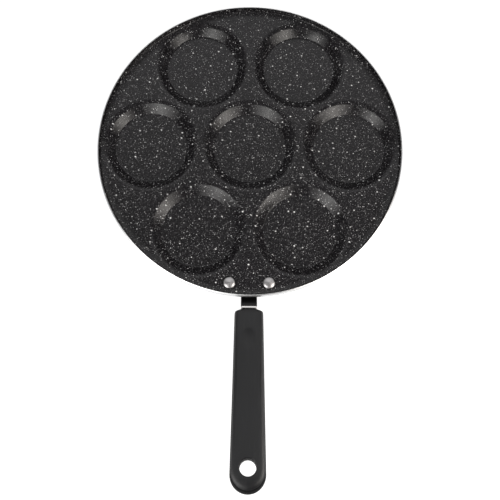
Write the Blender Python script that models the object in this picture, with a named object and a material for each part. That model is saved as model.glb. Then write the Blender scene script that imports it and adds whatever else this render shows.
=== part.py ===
"""Seven-cup egg and pancake pan: a cast plate with a riveted, screwed-on handle.

Metres, +Z up.  The origin is on the flat underside of the middle cup, on the axis of the rim.
+Y points away from the handle, which runs towards -Y and rises at HANDLE_RISE.
"""

import math

import bmesh
import bpy
from mathutils import Vector

MM = 0.001
GAP = 0.3 * MM  # clearance left between pieces that touch on the real pan

# ---------------------------------------------------------------- pan casting
RIM_R = 135.0 * MM  # outermost radius of the lip
RIM_Z = 17.0 * MM  # top of the lip above the cups' undersides
COAT_R = 133.35 * MM  # where the coat stops and the bare turned edge starts
DECK_Z = 11.0 * MM  # deck between the cups
DECK_T = 2.6 * MM  # thickness of the deck
FOOT_R = 127.0 * MM  # where the deck starts to curve up into the rim wall
RIM_SEGMENTS = 80

CUP_PITCH = 88.8 * MM  # centre to centre of neighbouring cups
CUP_SHIFT_Y = 1.5 * MM  # the cup pattern sits a little further from the handle
CUP_FLOOR_Z = 3.0 * MM
CUP_FLOOR_R = 31.5 * MM
CUP_LIP_R = 42.4 * MM  # where the soft lip meets the deck
CUP_BASE_R = 34.2 * MM
CUP_SEGMENTS = 36

# ---------------------------------------------------------------- rivets
RIVET_X = 16.9 * MM
RIVET_Y = -122.7 * MM
RIVET_SHANK_R = 2.6 * MM
RIVET_HEAD_R = 5.1 * MM
RIVET_HEAD_H = 2.5 * MM
RIVET_TAIL_R = 4.2 * MM
RIVET_TAIL_H = 1.7 * MM

# ---------------------------------------------------------------- handle
HANDLE_RISE = math.radians(15.0)
GRIP_FRONT = Vector((0.0, -145.4256 * MM, 10.8059 * MM))  # centre of the grip's front end
GRIP_LENGTH = 144.6 * MM
GRIP_HALF_T = 7.4 * MM
NOSE_CENTRE = 130.65 * MM  # along the grip, where its round end starts
NOSE_HALF_W = 13.85 * MM
SHOULDER_HALF_W = 12.0 * MM
FRONT_ARC_R = 27.5 * MM  # the grip's front end seen from above
HANG_HOLE_R = 6.4 * MM
HANG_HOLE_AT = 126.25 * MM
THUMB_AT = 26.75 * MM
SAG = 1.6 * MM  # the grip dips this much below a straight line at its middle

NECK_HALF_W = 6.85 * MM
NECK_HALF_H = 3.75 * MM
PLATE_TOP_Z = DECK_Z - DECK_T - GAP
PLATE_T = 2.2 * MM
PLATE_HALF_W = 24.0 * MM
PLATE_Y0 = -131.0 * MM
PLATE_Y1 = -115.2 * MM
TONGUE_HALF_W = 5.0 * MM
TONGUE_HALF_H = 2.4 * MM
TONGUE_END = 34.0 * MM
COLLAR_LENGTH = 2.25 * MM

SCREW_AT = 21.0 * MM
SCREW_SHANK_R = 2.0 * MM
SCREW_HEAD_R = 3.6 * MM
SCREW_HEAD_H = 2.2 * MM
WASHER_R = 3.6 * MM
WASHER_T = 0.9 * MM
COUNTERBORE_R = 4.3 * MM
COUNTERBORE_FLOOR = -3.6 * MM  # along the grip's normal


# ---------------------------------------------------------------- helpers
def clear_scene():
    for obj in list(bpy.data.objects):
        bpy.data.objects.remove(obj, do_unlink=True)


def material(name, colour, roughness, metallic):
    mat = bpy.data.materials.new(name)
    mat.use_nodes = True
    bsdf = mat.node_tree.nodes["Principled BSDF"]
    bsdf.inputs["Base Color"].default_value = (*colour, 1.0)
    bsdf.inputs["Roughness"].default_value = roughness
    bsdf.inputs["Metallic"].default_value = metallic
    mat.diffuse_color = (*colour, 1.0)
    return mat


def add_object(name, bm, mat=None, smooth=35.0):
    bmesh.ops.recalc_face_normals(bm, faces=bm.faces)
    mesh = bpy.data.meshes.new(name)
    bm.to_mesh(mesh)
    bm.free()
    if mat:
        mesh.materials.append(mat)
    mesh.shade_smooth()
    mesh.set_sharp_from_angle(angle=math.radians(smooth))
    obj = bpy.data.objects.new(name, mesh)
    bpy.context.scene.collection.objects.link(obj)
    return obj


def as_cutter(obj):
    obj.hide_render = True
    obj.display_type = "WIRE"
    return obj


def boolean(obj, operation, other):
    mod = obj.modifiers.new(f"{operation.lower()}_{other.name}", "BOOLEAN")
    mod.operation = operation
    mod.solver = "EXACT"
    mod.object = other
    return mod


def lathe(bm, profile, segments, centre=(0.0, 0.0)):
    """Turn a closed profile of (radius, z) round a vertical axis; a radius of 0 is a single point."""
    rings = []
    for radius, z in profile:
        if radius < 1e-9:
            rings.append([bm.verts.new((centre[0], centre[1], z))])
            continue
        ring = []
        for i in range(segments):
            a = 2.0 * math.pi * i / segments
            ring.append(
                bm.verts.new(
                    (centre[0] + radius * math.cos(a), centre[1] + radius * math.sin(a), z)
                )
            )
        rings.append(ring)
    for j, lower in enumerate(rings):
        upper = rings[(j + 1) % len(rings)]
        if len(lower) == 1 and len(upper) == 1:
            continue
        for i in range(segments):
            k = (i + 1) % segments
            if len(lower) == 1:
                bm.faces.new((lower[0], upper[k], upper[i]))
            elif len(upper) == 1:
                bm.faces.new((lower[i], lower[k], upper[0]))
            else:
                bm.faces.new((lower[i], lower[k], upper[k], upper[i]))


def rounded_ring(bm, half_w, half_h, radius, place, steps=3):
    """One loop of a rounded rectangle; place(x, h) puts a section point in space."""
    loop = []
    for cx, cy, start in (
        (half_w - radius, half_h - radius, 0.0),
        (-(half_w - radius), half_h - radius, 90.0),
        (-(half_w - radius), -(half_h - radius), 180.0),
        (half_w - radius, -(half_h - radius), 270.0),
    ):
        for s in range(steps):
            a = math.radians(start + 90.0 * s / (steps - 1))
            loop.append(
                bm.verts.new(place(cx + radius * math.cos(a), cy + radius * math.sin(a)))
            )
    return loop


def bridge(bm, a, b):
    n = len(a)
    for i in range(n):
        k = (i + 1) % n
        bm.faces.new((a[i], a[k], b[k], b[i]))


# ---------------------------------------------------------------- pan body
def cup_centres():
    yield 0.0, CUP_SHIFT_Y
    for i in range(6):
        a = math.radians(60.0 * i)
        yield CUP_PITCH * math.cos(a), CUP_PITCH * math.sin(a) + CUP_SHIFT_Y


def make_pan(mat):
    under = DECK_Z - DECK_T
    bm = bmesh.new()
    lathe(
        bm,
        [
            (0.0, under),
            (132.4 * MM, under),
            (133.3 * MM, under + 0.6 * MM),  # root of the rim wall
            (134.65 * MM, 13.6 * MM),
            (RIM_R, 15.1 * MM),
            (133.65 * MM, 16.9 * MM),  # bare turned edge, sloping outwards
            (COAT_R, RIM_Z),
            (133.15 * MM, 16.8 * MM),
            (132.4 * MM, 13.2 * MM),  # nearly upright inside wall
            (131.8 * MM, 12.2 * MM),
            (FOOT_R + 3.0 * MM, DECK_Z + 0.35 * MM),
            (FOOT_R, DECK_Z),
            (0.0, DECK_Z),
        ],
        RIM_SEGMENTS,
    )
    pan = add_object("pan_body", bm, mat)

    bm = bmesh.new()
    for centre in cup_centres():
        lathe(
            bm,
            [
                (0.0, 0.0),
                (CUP_BASE_R, 0.0),
                (CUP_BASE_R + 1.2 * MM, 0.8 * MM),  # turned corner of the cup's underside
                (CUP_LIP_R - 0.6 * MM, under),
                (CUP_LIP_R - 0.6 * MM, under + 1.3 * MM),
                (0.0, under + 1.3 * MM),
            ],
            CUP_SEGMENTS,
            centre,
        )
    boolean(pan, "UNION", as_cutter(add_object("cup_outsides", bm)))

    bm = bmesh.new()
    for centre in cup_centres():
        lathe(
            bm,
            [
                (0.0, CUP_FLOOR_Z),
                (CUP_FLOOR_R, CUP_FLOOR_Z),
                (CUP_FLOOR_R + 1.4 * MM, CUP_FLOOR_Z + 0.7 * MM),  # fillet at the floor
                (CUP_FLOOR_R + 7.3 * MM, CUP_FLOOR_Z + 6.05 * MM),  # nearly straight wall
                (CUP_FLOOR_R + 9.2 * MM, CUP_FLOOR_Z + 7.3 * MM),
                (CUP_LIP_R, DECK_Z - 0.2 * MM),  # softened lip
                (CUP_LIP_R + 0.1 * MM, RIM_Z + 1.0 * MM),
                (0.0, RIM_Z + 1.0 * MM),
            ],
            CUP_SEGMENTS,
            centre,
        )
    boolean(pan, "DIFFERENCE", as_cutter(add_object("cup_hollows", bm)))

    bm = bmesh.new()
    for x in (-RIVET_X, RIVET_X):
        lathe(
            bm,
            [
                (0.0, under - 2.0 * MM),
                (RIVET_SHANK_R + GAP, under - 2.0 * MM),
                (RIVET_SHANK_R + GAP, DECK_Z + 2.0 * MM),
                (0.0, DECK_Z + 2.0 * MM),
            ],
            20,
            (x, RIVET_Y),
        )
    boolean(pan, "DIFFERENCE", as_cutter(add_object("deck_rivet_holes", bm)))
    return pan


# ---------------------------------------------------------------- rivets
def make_rivet(name, x, mat):
    """A solid rivet: shallow cone-like dome on the deck, shank, and the tail formed under the ear plate."""
    head0 = DECK_Z + GAP
    tail1 = PLATE_TOP_Z - PLATE_T - GAP
    bm = bmesh.new()
    lathe(
        bm,
        [
            (0.0, tail1 - RIVET_TAIL_H),
            (RIVET_TAIL_R - 1.4 * MM, tail1 - RIVET_TAIL_H),
            (RIVET_TAIL_R - 0.4 * MM, tail1 - RIVET_TAIL_H + 0.5 * MM),
            (RIVET_TAIL_R, tail1 - 0.4 * MM),
            (RIVET_TAIL_R, tail1),
            (RIVET_SHANK_R, tail1),
            (RIVET_SHANK_R, head0),
            (RIVET_HEAD_R - 0.1 * MM, head0),
            (RIVET_HEAD_R, head0 + 0.35 * MM),
            (RIVET_HEAD_R - 0.45 * MM, head0 + 1.05 * MM),
            (RIVET_HEAD_R - 1.6 * MM, head0 + 1.75 * MM),
            (1.2 * MM, head0 + RIVET_HEAD_H - 0.12 * MM),
            (0.0, head0 + RIVET_HEAD_H),
        ],
        28,
    )
    rivet = add_object(name, bm, mat, smooth=50.0)
    rivet.location = (x, RIVET_Y, 0.0)
    return rivet


# ---------------------------------------------------------------- bracket
def along_handle(x, u, n):
    """A point in the handle's own frame: x across, u along the grip, n up from its axis."""
    return (
        GRIP_FRONT[0] + x,
        GRIP_FRONT[1] - u * math.cos(HANDLE_RISE) + n * math.sin(HANDLE_RISE),
        GRIP_FRONT[2] + u * math.sin(HANDLE_RISE) + n * math.cos(HANDLE_RISE),
    )


def make_bracket(mat):
    """Ear plate under the deck; the neck passes under the rim wall and rises to the grip; tongue inside the grip."""
    corner = 5.5 * MM
    bm = bmesh.new()
    cy = (PLATE_Y0 + PLATE_Y1) / 2
    hy = (PLATE_Y1 - PLATE_Y0) / 2
    z1, z0 = PLATE_TOP_Z, PLATE_TOP_Z - PLATE_T
    rings = []
    for z, inset in ((z0, 0.4 * MM), (z0 + 0.4 * MM, 0.0), (z1 - 0.4 * MM, 0.0), (z1, 0.4 * MM)):
        rings.append(
            rounded_ring(
                bm,
                PLATE_HALF_W - inset,
                hy - inset,
                corner - inset,
                lambda x, h, z=z: (x, cy + h, z),
                steps=6,
            )
        )
    for a, b in zip(rings, rings[1:]):
        bridge(bm, a, b)
    bm.faces.new(list(reversed(rings[0])))
    bm.faces.new(rings[-1])
    bracket = add_object("handle_bracket", bm, mat)

    # neck: sections stand across its run, given as (y, top z, bottom z)
    end_u = -(COLLAR_LENGTH + GAP)
    bm = bmesh.new()
    rings = []
    for y, top, bottom, r in (
        (-118.0, 7.7, 6.3, 0.5),
        (-126.0, 7.8, 5.5, 0.9),
        (-132.6, 7.95, 4.6, 1.1),
        (-135.0, 9.0, 4.5, 1.3),
        (-137.2, 10.8, 4.8, 1.5),
        (-139.6, 12.7, 5.5, 1.6),
    ):
        middle = (top + bottom) / 2 * MM
        rings.append(
            rounded_ring(
                bm,
                NECK_HALF_W,
                (top - bottom) / 2 * MM,
                r * MM * 0.6,
                lambda x, h, y=y, m=middle: (x, y * MM, m + h),
            )
        )
    rings.append(
        rounded_ring(
            bm, NECK_HALF_W, NECK_HALF_H, 1.1 * MM, lambda x, h: along_handle(x, end_u, h)
        )
    )
    for u in (end_u, TONGUE_END - 1.0 * MM):
        rings.append(
            rounded_ring(
                bm,
                TONGUE_HALF_W,
                TONGUE_HALF_H,
                0.5 * MM,
                lambda x, h, u=u: along_handle(x, u, h),
            )
        )
    rings.append(
        rounded_ring(
            bm,
            TONGUE_HALF_W - 0.8 * MM,
            TONGUE_HALF_H - 0.5 * MM,
            0.4 * MM,
            lambda x, h: along_handle(x, TONGUE_END, h),
        )
    )
    for a, b in zip(rings, rings[1:]):
        bridge(bm, a, b)
    bm.faces.new(list(reversed(rings[0])))
    bm.faces.new(rings[-1])
    boolean(bracket, "UNION", as_cutter(add_object("neck_and_tongue", bm)))

    bm = bmesh.new()
    for x in (-RIVET_X, RIVET_X):
        lathe(
            bm,
            [
                (0.0, z0 - 2.0 * MM),
                (RIVET_SHANK_R + GAP, z0 - 2.0 * MM),
                (RIVET_SHANK_R + GAP, z1 + 2.0 * MM),
                (0.0, z1 + 2.0 * MM),
            ],
            20,
            (x, RIVET_Y),
        )
    boolean(bracket, "DIFFERENCE", as_cutter(add_object("ear_rivet_holes", bm)))
    return bracket


# ---------------------------------------------------------------- collar
def make_collar(mat, frame):
    """Bright sleeve round the tongue, the same outline as the neck."""
    bm = bmesh.new()
    rings = []
    inner_w, inner_h = TONGUE_HALF_W + GAP, TONGUE_HALF_H + GAP
    u0, u1 = -COLLAR_LENGTH, -GAP
    soft = 0.25 * MM
    for hw, hh, r, u in (
        (inner_w, inner_h, 0.6 * MM, u0),
        (NECK_HALF_W - soft, NECK_HALF_H - soft, 0.9 * MM, u0),
        (NECK_HALF_W, NECK_HALF_H, 1.1 * MM, u0 + soft),
        (NECK_HALF_W, NECK_HALF_H, 1.1 * MM, u1 - soft),
        (NECK_HALF_W - soft, NECK_HALF_H - soft, 0.9 * MM, u1),
        (inner_w, inner_h, 0.6 * MM, u1),
    ):
        rings.append(rounded_ring(bm, hw, hh, r, lambda x, h, u=u: (x, -u, h)))
    for a, b in zip(rings, rings[1:] + rings[:1]):
        bridge(bm, a, b)
    collar = add_object("heat_collar", bm, mat, smooth=40.0)
    collar.parent = frame
    return collar


# ---------------------------------------------------------------- grip
def grip_outline(side_steps=9, nose_steps=10):
    """Right half of the grip seen from above, from the middle of its front to its tip: (half width, along)."""
    points = []
    # the front end is a wide arc, with a small corner into each side
    for share in (0.0, 0.36, 0.7, 0.92):
        x = SHOULDER_HALF_W * share
        points.append((x, FRONT_ARC_R - math.sqrt(FRONT_ARC_R**2 - x**2)))
    points.append((SHOULDER_HALF_W - 0.25 * MM, 2.95 * MM))
    start, end = 4.2 * MM, NOSE_CENTRE
    for i in range(side_steps):
        t = i / (side_steps - 1)
        u = start + (end - start) * t
        points.append((side_half_width(u), u))
    for i in range(1, nose_steps + 1):
        a = math.pi / 2 * i / nose_steps
        points.append(
            (NOSE_HALF_W * math.cos(a), NOSE_CENTRE + (GRIP_LENGTH - NOSE_CENTRE) * math.sin(a))
        )
    return points


def side_half_width(u):
    """The grip widens slowly and evenly from shoulder to nose."""
    t = (u - 4.2 * MM) / (NOSE_CENTRE - 4.2 * MM)
    return SHOULDER_HALF_W + 0.12 * MM + (NOSE_HALF_W - SHOULDER_HALF_W - 0.12 * MM) * t


def grip_dip(u):
    """Height of the grip's curved axis over the straight one."""
    t = min(max(u / GRIP_LENGTH, 0.0), 1.0)
    return -SAG * math.sin(math.pi * t) ** 2


def make_grip(mat, frame):
    """Stacked outlines from the underside to the crown, closed by strips across the top and bottom."""
    half = grip_outline()
    w_max = NOSE_HALF_W
    # (height, inset at the sides, inset at the front, inset at the tip)
    layers = (
        (-7.4, 7.6, 5.5, 9.0),
        (-7.0, 4.0, 2.6, 5.4),
        (-5.9, 1.7, 1.0, 2.7),
        (-4.0, 0.4, 0.3, 0.9),
        (-1.8, 0.0, 0.0, 0.0),
        (1.6, 0.15, 0.0, 0.7),
        (4.2, 0.6, 0.15, 2.0),
        (5.9, 1.5, 0.6, 3.4),
        (6.8, 3.2, 1.7, 5.2),
        (7.4, 7.6, 5.5, 9.0),
    )
    bm = bmesh.new()
    rings = []
    for height, side, front, tip in layers:
        row = []
        for x, u in half:
            u2 = front * MM + (GRIP_LENGTH - (front + tip) * MM) * u / GRIP_LENGTH
            x2 = x * (w_max - side * MM) / w_max
            row.append((x2, u2, height * MM + grip_dip(u2)))
        right = [bm.verts.new((x, -u, n)) for x, u, n in row]
        left = [bm.verts.new((-x, -u, n)) for x, u, n in row[1:-1]]
        rings.append((right, left))
    loops = [right + list(reversed(left)) for right, left in rings]
    for a, b in zip(loops, loops[1:]):
        bridge(bm, a, b)
    for right, left in (rings[0], rings[-1]):
        bm.faces.new((right[0], right[1], left[0]))
        for i in range(1, len(left)):
            bm.faces.new((right[i], right[i + 1], left[i], left[i - 1]))
        bm.faces.new((right[-2], right[-1], left[-1]))
    grip = add_object("handle_grip", bm, mat, smooth=50.0)
    grip.parent = frame

    # socket for the tongue, open at the front
    bm = bmesh.new()
    rings = [
        rounded_ring(
            bm,
            TONGUE_HALF_W + GAP,
            TONGUE_HALF_H + GAP,
            0.6 * MM,
            lambda x, h, u=u: (x, -u, h),
        )
        for u in (-4.0 * MM, TONGUE_END + 1.2 * MM)
    ]
    bridge(bm, rings[0], rings[1])
    bm.faces.new(list(reversed(rings[0])))
    bm.faces.new(rings[1])
    socket = as_cutter(add_object("grip_socket", bm))

    # round hang hole, square to the grip, with a small chamfer at both mouths
    bm = bmesh.new()
    dip = grip_dip(HANG_HOLE_AT)
    lathe(
        bm,
        [
            (0.0, -9.0 * MM),
            (HANG_HOLE_R + 2.0 * MM, -9.0 * MM),
            (HANG_HOLE_R, -6.6 * MM + dip),
            (HANG_HOLE_R, 6.6 * MM + dip),
            (HANG_HOLE_R + 2.0 * MM, 9.0 * MM),
            (0.0, 9.0 * MM),
        ],
        28,
        (0.0, -HANG_HOLE_AT),
    )
    hole = as_cutter(add_object("grip_hang_hole", bm))

    # screw hole from below into the socket, with a counterbore for the head
    bm = bmesh.new()
    lathe(
        bm,
        [
            (0.0, -12.0 * MM),
            (COUNTERBORE_R, -12.0 * MM),
            (COUNTERBORE_R, COUNTERBORE_FLOOR - 1.6 * MM),
            (COUNTERBORE_R, COUNTERBORE_FLOOR),
            (SCREW_SHANK_R + GAP, COUNTERBORE_FLOOR),
            (SCREW_SHANK_R + GAP, 0.0),
            (0.0, 0.0),
        ],
        24,
        (0.0, -SCREW_AT),
    )
    screw_hole = as_cutter(add_object("grip_screw_hole", bm))

    # shallow oval dish for the thumb
    bm = bmesh.new()
    bmesh.ops.create_uvsphere(bm, u_segments=24, v_segments=14, radius=1.0)
    depth, ball = 1.1 * MM, 8.0 * MM
    top = 7.4 * MM + grip_dip(THUMB_AT)
    bmesh.ops.scale(bm, vec=(11.8 * MM, 17.0 * MM, ball), verts=bm.verts)
    bmesh.ops.translate(bm, vec=(0.0, -THUMB_AT, top - depth + ball), verts=bm.verts)
    thumb = as_cutter(add_object("grip_thumb_dish", bm))

    for cutter in (socket, screw_hole, hole, thumb):
        cutter.parent = frame
        boolean(grip, "DIFFERENCE", cutter)
    return grip


# ---------------------------------------------------------------- screw and washer
def make_screw(bracket, mat, frame):
    """Pan-head screw from below; its shank ends in the tongue."""
    head_top = COUNTERBORE_FLOOR - GAP - WASHER_T - GAP
    tip = 1.0 * MM
    bm = bmesh.new()
    lathe(
        bm,
        [
            (0.0, head_top - SCREW_HEAD_H),
            (SCREW_HEAD_R - 1.1 * MM, head_top - SCREW_HEAD_H),
            (SCREW_HEAD_R - 0.3 * MM, head_top - SCREW_HEAD_H + 0.5 * MM),
            (SCREW_HEAD_R, head_top - 0.9 * MM),
            (SCREW_HEAD_R, head_top),
            (SCREW_SHANK_R, head_top),
            (SCREW_SHANK_R, tip - 0.5 * MM),
            (SCREW_SHANK_R - 0.5 * MM, tip),
            (0.0, tip),
        ],
        24,
    )
    screw = add_object("grip_screw", bm, mat, smooth=40.0)
    screw.parent = frame
    screw.location = (0.0, -SCREW_AT, 0.0)

    # cross recess in the head
    bm = bmesh.new()
    for hx, hy in ((2.1 * MM, 0.45 * MM), (0.45 * MM, 2.1 * MM)):
        new = bmesh.ops.create_cube(bm, size=2.0)["verts"]
        bmesh.ops.scale(bm, vec=(hx, hy, 1.1 * MM), verts=new)
        bmesh.ops.translate(bm, vec=(0.0, -SCREW_AT, head_top - SCREW_HEAD_H), verts=new)
    recess = as_cutter(add_object("screw_recess", bm))
    recess.parent = frame
    mod = boolean(screw, "DIFFERENCE", recess)
    mod.use_self = True

    # matching blind hole in the tongue
    bm = bmesh.new()
    lathe(
        bm,
        [
            (0.0, -6.0 * MM),
            (SCREW_SHANK_R + GAP, -6.0 * MM),
            (SCREW_SHANK_R + GAP, tip + GAP),
            (0.0, tip + GAP),
        ],
        20,
        (0.0, -SCREW_AT),
    )
    tapped = as_cutter(add_object("tongue_screw_hole", bm))
    tapped.parent = frame
    boolean(bracket, "DIFFERENCE", tapped)
    return screw


def make_washer(mat, frame):
    top = COUNTERBORE_FLOOR - GAP
    inner = SCREW_SHANK_R + GAP
    bm = bmesh.new()
    lathe(
        bm,
        [
            (inner, top - WASHER_T),
            (WASHER_R - 0.15 * MM, top - WASHER_T),
            (WASHER_R, top - WASHER_T + 0.15 * MM),
            (WASHER_R, top - 0.15 * MM),
            (WASHER_R - 0.15 * MM, top),
            (inner, top),
        ],
        24,
    )
    washer = add_object("lock_washer", bm, mat, smooth=40.0)
    washer.parent = frame
    washer.location = (0.0, -SCREW_AT, 0.0)
    return washer


def main():
    clear_scene()
    coat = material("speckled_coat", (0.045, 0.045, 0.047), 0.42, 0.1)
    black = material("bracket_black", (0.02, 0.02, 0.021), 0.45, 0.3)
    rivet_metal = material("rivet_aluminium", (0.78, 0.77, 0.76), 0.25, 1.0)
    collar_metal = material("collar_aluminium", (0.82, 0.80, 0.78), 0.3, 1.0)
    grip_black = material("grip_phenolic", (0.035, 0.036, 0.038), 0.5, 0.0)
    steel = material("screw_steel", (0.62, 0.62, 0.63), 0.3, 1.0)
    spring = material("washer_steel", (0.45, 0.45, 0.46), 0.4, 1.0)

    make_pan(coat)
    make_rivet("rivet_left", -RIVET_X, rivet_metal)
    make_rivet("rivet_right", RIVET_X, rivet_metal)
    bracket = make_bracket(black)

    # the handle's frame: local -Y runs along the grip, local +Z is up from its axis
    frame = bpy.data.objects.new("handle_frame", None)
    frame.location = GRIP_FRONT
    frame.rotation_euler = (-HANDLE_RISE, 0.0, 0.0)
    bpy.context.scene.collection.objects.link(frame)
    make_collar(collar_metal, frame)
    make_grip(grip_black, frame)
    make_screw(bracket, steel, frame)
    make_washer(spring, frame)
    bpy.context.view_layer.update()


main()
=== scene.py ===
"""Looks of the egg and pancake pan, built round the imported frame. Lengths in the geometry part are millimetres."""

import math

import bmesh
import bpy
import numpy as np
from mathutils import Matrix, Vector
from mathutils.geometry import delaunay_2d_cdt


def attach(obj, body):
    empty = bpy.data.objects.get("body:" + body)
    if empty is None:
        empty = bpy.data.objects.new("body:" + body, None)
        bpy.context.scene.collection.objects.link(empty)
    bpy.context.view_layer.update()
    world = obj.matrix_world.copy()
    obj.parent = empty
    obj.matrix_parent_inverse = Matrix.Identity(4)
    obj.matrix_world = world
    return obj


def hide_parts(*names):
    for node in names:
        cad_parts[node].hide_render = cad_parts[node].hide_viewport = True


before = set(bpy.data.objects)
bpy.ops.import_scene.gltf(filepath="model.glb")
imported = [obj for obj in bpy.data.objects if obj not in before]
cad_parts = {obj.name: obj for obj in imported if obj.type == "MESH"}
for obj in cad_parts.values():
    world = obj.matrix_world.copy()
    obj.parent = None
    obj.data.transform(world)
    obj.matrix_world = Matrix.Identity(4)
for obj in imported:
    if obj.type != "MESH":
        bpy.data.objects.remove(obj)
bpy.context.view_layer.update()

MM = 0.001

# ------------------------------------------------------------------ sizes, the same as the CAD's
DECK_Z, UNDER_Z, RIM_Z, FLOOR_Z = 11.0, 8.4, 17.0, 3.0
CUP_PITCH, CUP_SHIFT_Y = 88.8, 1.5
CUPS = [(0.0, CUP_SHIFT_Y)] + [
    (CUP_PITCH * math.cos(math.radians(60 * i)), CUP_PITCH * math.sin(math.radians(60 * i)) + CUP_SHIFT_Y)
    for i in range(6)
]
RIVETS = [(-16.9, -122.7), (16.9, -122.7)]
RIVET_HOLE_R = 2.9
RISE = math.radians(15.0)
FRONT = np.array([0.0, -145.4256, 10.8059])
GRIP_L, NOSE_AT, NOSE_W, SHOULDER_W = 144.55, 130.65, 13.85, 12.0
BULGE_R, CORNER_R = 27.5, 1.3  # the front end seen from above
NECK_W = 6.85
HOLE_AT, HOLE_R = 126.25, 6.4
THUMB_AT, SCREW_AT = 26.75, 21.0
SAG = 1.6


# ------------------------------------------------------------------ geometry helpers
def filleted(points, radii, step=8.0):
    """A polyline of (a, b) points with its inner corners rounded, as an array."""
    out = [points[0]]
    for i in range(1, len(points) - 1):
        p, q, s = (np.array(points[j], float) for j in (i - 1, i, i + 1))
        radius = radii[i - 1]
        a, b = (p - q) / np.linalg.norm(p - q), (s - q) / np.linalg.norm(s - q)
        turn = math.pi - math.acos(float(np.clip(a @ b, -1, 1)))
        if radius <= 0 or turn < 1e-4:
            out.append(tuple(q))
            continue
        reach = radius * math.tan(turn / 2)
        first, last = q + a * reach, q + b * reach
        centre = q + (a + b) / np.linalg.norm(a + b) * radius / math.cos(turn / 2)
        count = max(2, int(math.ceil(math.degrees(turn) / step)))
        u, v = first - centre, last - centre
        for k in range(count + 1):
            t = k / count
            w = (math.sin((1 - t) * turn) * u + math.sin(t * turn) * v) / math.sin(turn)
            out.append(tuple(centre + w))
    out.append(points[-1])
    return np.array(out)


class Profile:
    """A height over a distance, from a rounded polyline, with its slope."""

    def __init__(self, points, radii):
        self.points = points
        self.radii = radii
        fine = filleted(points, radii, 0.5)
        self.a, self.b = fine[:, 0], fine[:, 1]
        mid = (self.a[1:] + self.a[:-1]) / 2
        self.mid, self.slope = mid, np.diff(self.b) / np.maximum(np.diff(self.a), 1e-9)

    def height(self, d):
        return np.interp(d, self.a, self.b)

    def grade(self, d):
        return np.interp(d, self.mid, self.slope, left=0.0, right=0.0)

    def rings(self, step, extra=()):
        coarse = filleted(self.points, self.radii, step)[1:-1, 0]
        return sorted(set(np.round(np.concatenate([coarse, list(extra)]), 4)))


def circle(cx, cy, radius, count, turn=0.0):
    a = np.arange(count) * 2 * math.pi / count + turn
    return np.stack([cx + radius * np.cos(a), cy + radius * np.sin(a)], 1)


def triangulate(points, keep):
    """Delaunay triangles over plan points; keep(x, y) of a triangle's middle says whether it stays."""
    verts, _, faces, origin, _, _ = delaunay_2d_cdt([Vector(p) for p in points], [], [], 0, 1e-7, True)
    back = [o[0] for o in origin]
    if len(verts) != len(points) or sorted(back) != list(range(len(points))):
        raise RuntimeError("two plan points fell together")
    tris = np.array([[back[i] for i in f] for f in faces])
    middle = np.asarray(points)[tris].mean(1)
    return tris[keep(middle[:, 0], middle[:, 1])]


class Shell:
    """Collects vertices and faces of one closed body."""

    def __init__(self):
        self.points, self.faces, self.slots = [], [], []
        self.count = 0

    def add(self, points):
        points = np.asarray(points, float)
        self.points.append(points)
        self.count += len(points)
        return np.arange(self.count - len(points), self.count)

    def strip(self, lower, upper, slot=0, closed=True):
        """Quads between two rings of vertex numbers."""
        n = len(lower)
        for i in range(n if closed else n - 1):
            k = (i + 1) % n
            self.face((lower[i], lower[k], upper[k], upper[i]), slot)

    def face(self, corners, slot=0):
        self.faces.append(tuple(int(c) for c in corners))
        self.slots.append(slot)

    def mesh(self, name, materials, place=None):
        points = np.concatenate(self.points)
        if place is not None:
            points = place(points)
        me = bpy.data.meshes.new(name)
        me.from_pydata((points * MM).tolist(), [], self.faces)
        for m in materials:
            me.materials.append(m)
        me.polygons.foreach_set("material_index", self.slots)
        me.polygons.foreach_set("use_smooth", [True] * len(self.faces))
        me.update()
        return me


def outward(me):
    bm = bmesh.new()
    bm.from_mesh(me)
    bmesh.ops.recalc_face_normals(bm, faces=bm.faces)
    if bm.calc_volume(signed=True) < 0:
        bmesh.ops.reverse_faces(bm, faces=bm.faces)
    bm.to_mesh(me)
    bm.free()


def new_object(name, me):
    ob = bpy.data.objects.new(name, me)
    bpy.context.scene.collection.objects.link(ob)
    return ob


def along_handle(points):
    """Handle frame (across, along, up) to the row frame."""
    x, u, n = np.asarray(points, float).T
    return np.stack(
        [FRONT[0] + x, FRONT[1] - u * math.cos(RISE) + n * math.sin(RISE), FRONT[2] + u * math.sin(RISE) + n * math.cos(RISE)],
        1,
    )


def cut(ob, cutter, operation="DIFFERENCE"):
    """Applies an exact boolean and removes the cutter."""
    mod = ob.modifiers.new("cut", "BOOLEAN")
    mod.operation, mod.solver, mod.object = operation, "EXACT", cutter
    dg = bpy.context.evaluated_depsgraph_get()
    dg.update()
    me = bpy.data.meshes.new_from_object(ob.evaluated_get(dg))
    ob.modifiers.clear()
    old = ob.data
    ob.data = me
    bpy.data.meshes.remove(old)
    bpy.data.objects.remove(cutter)
    me.name = ob.name


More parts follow.
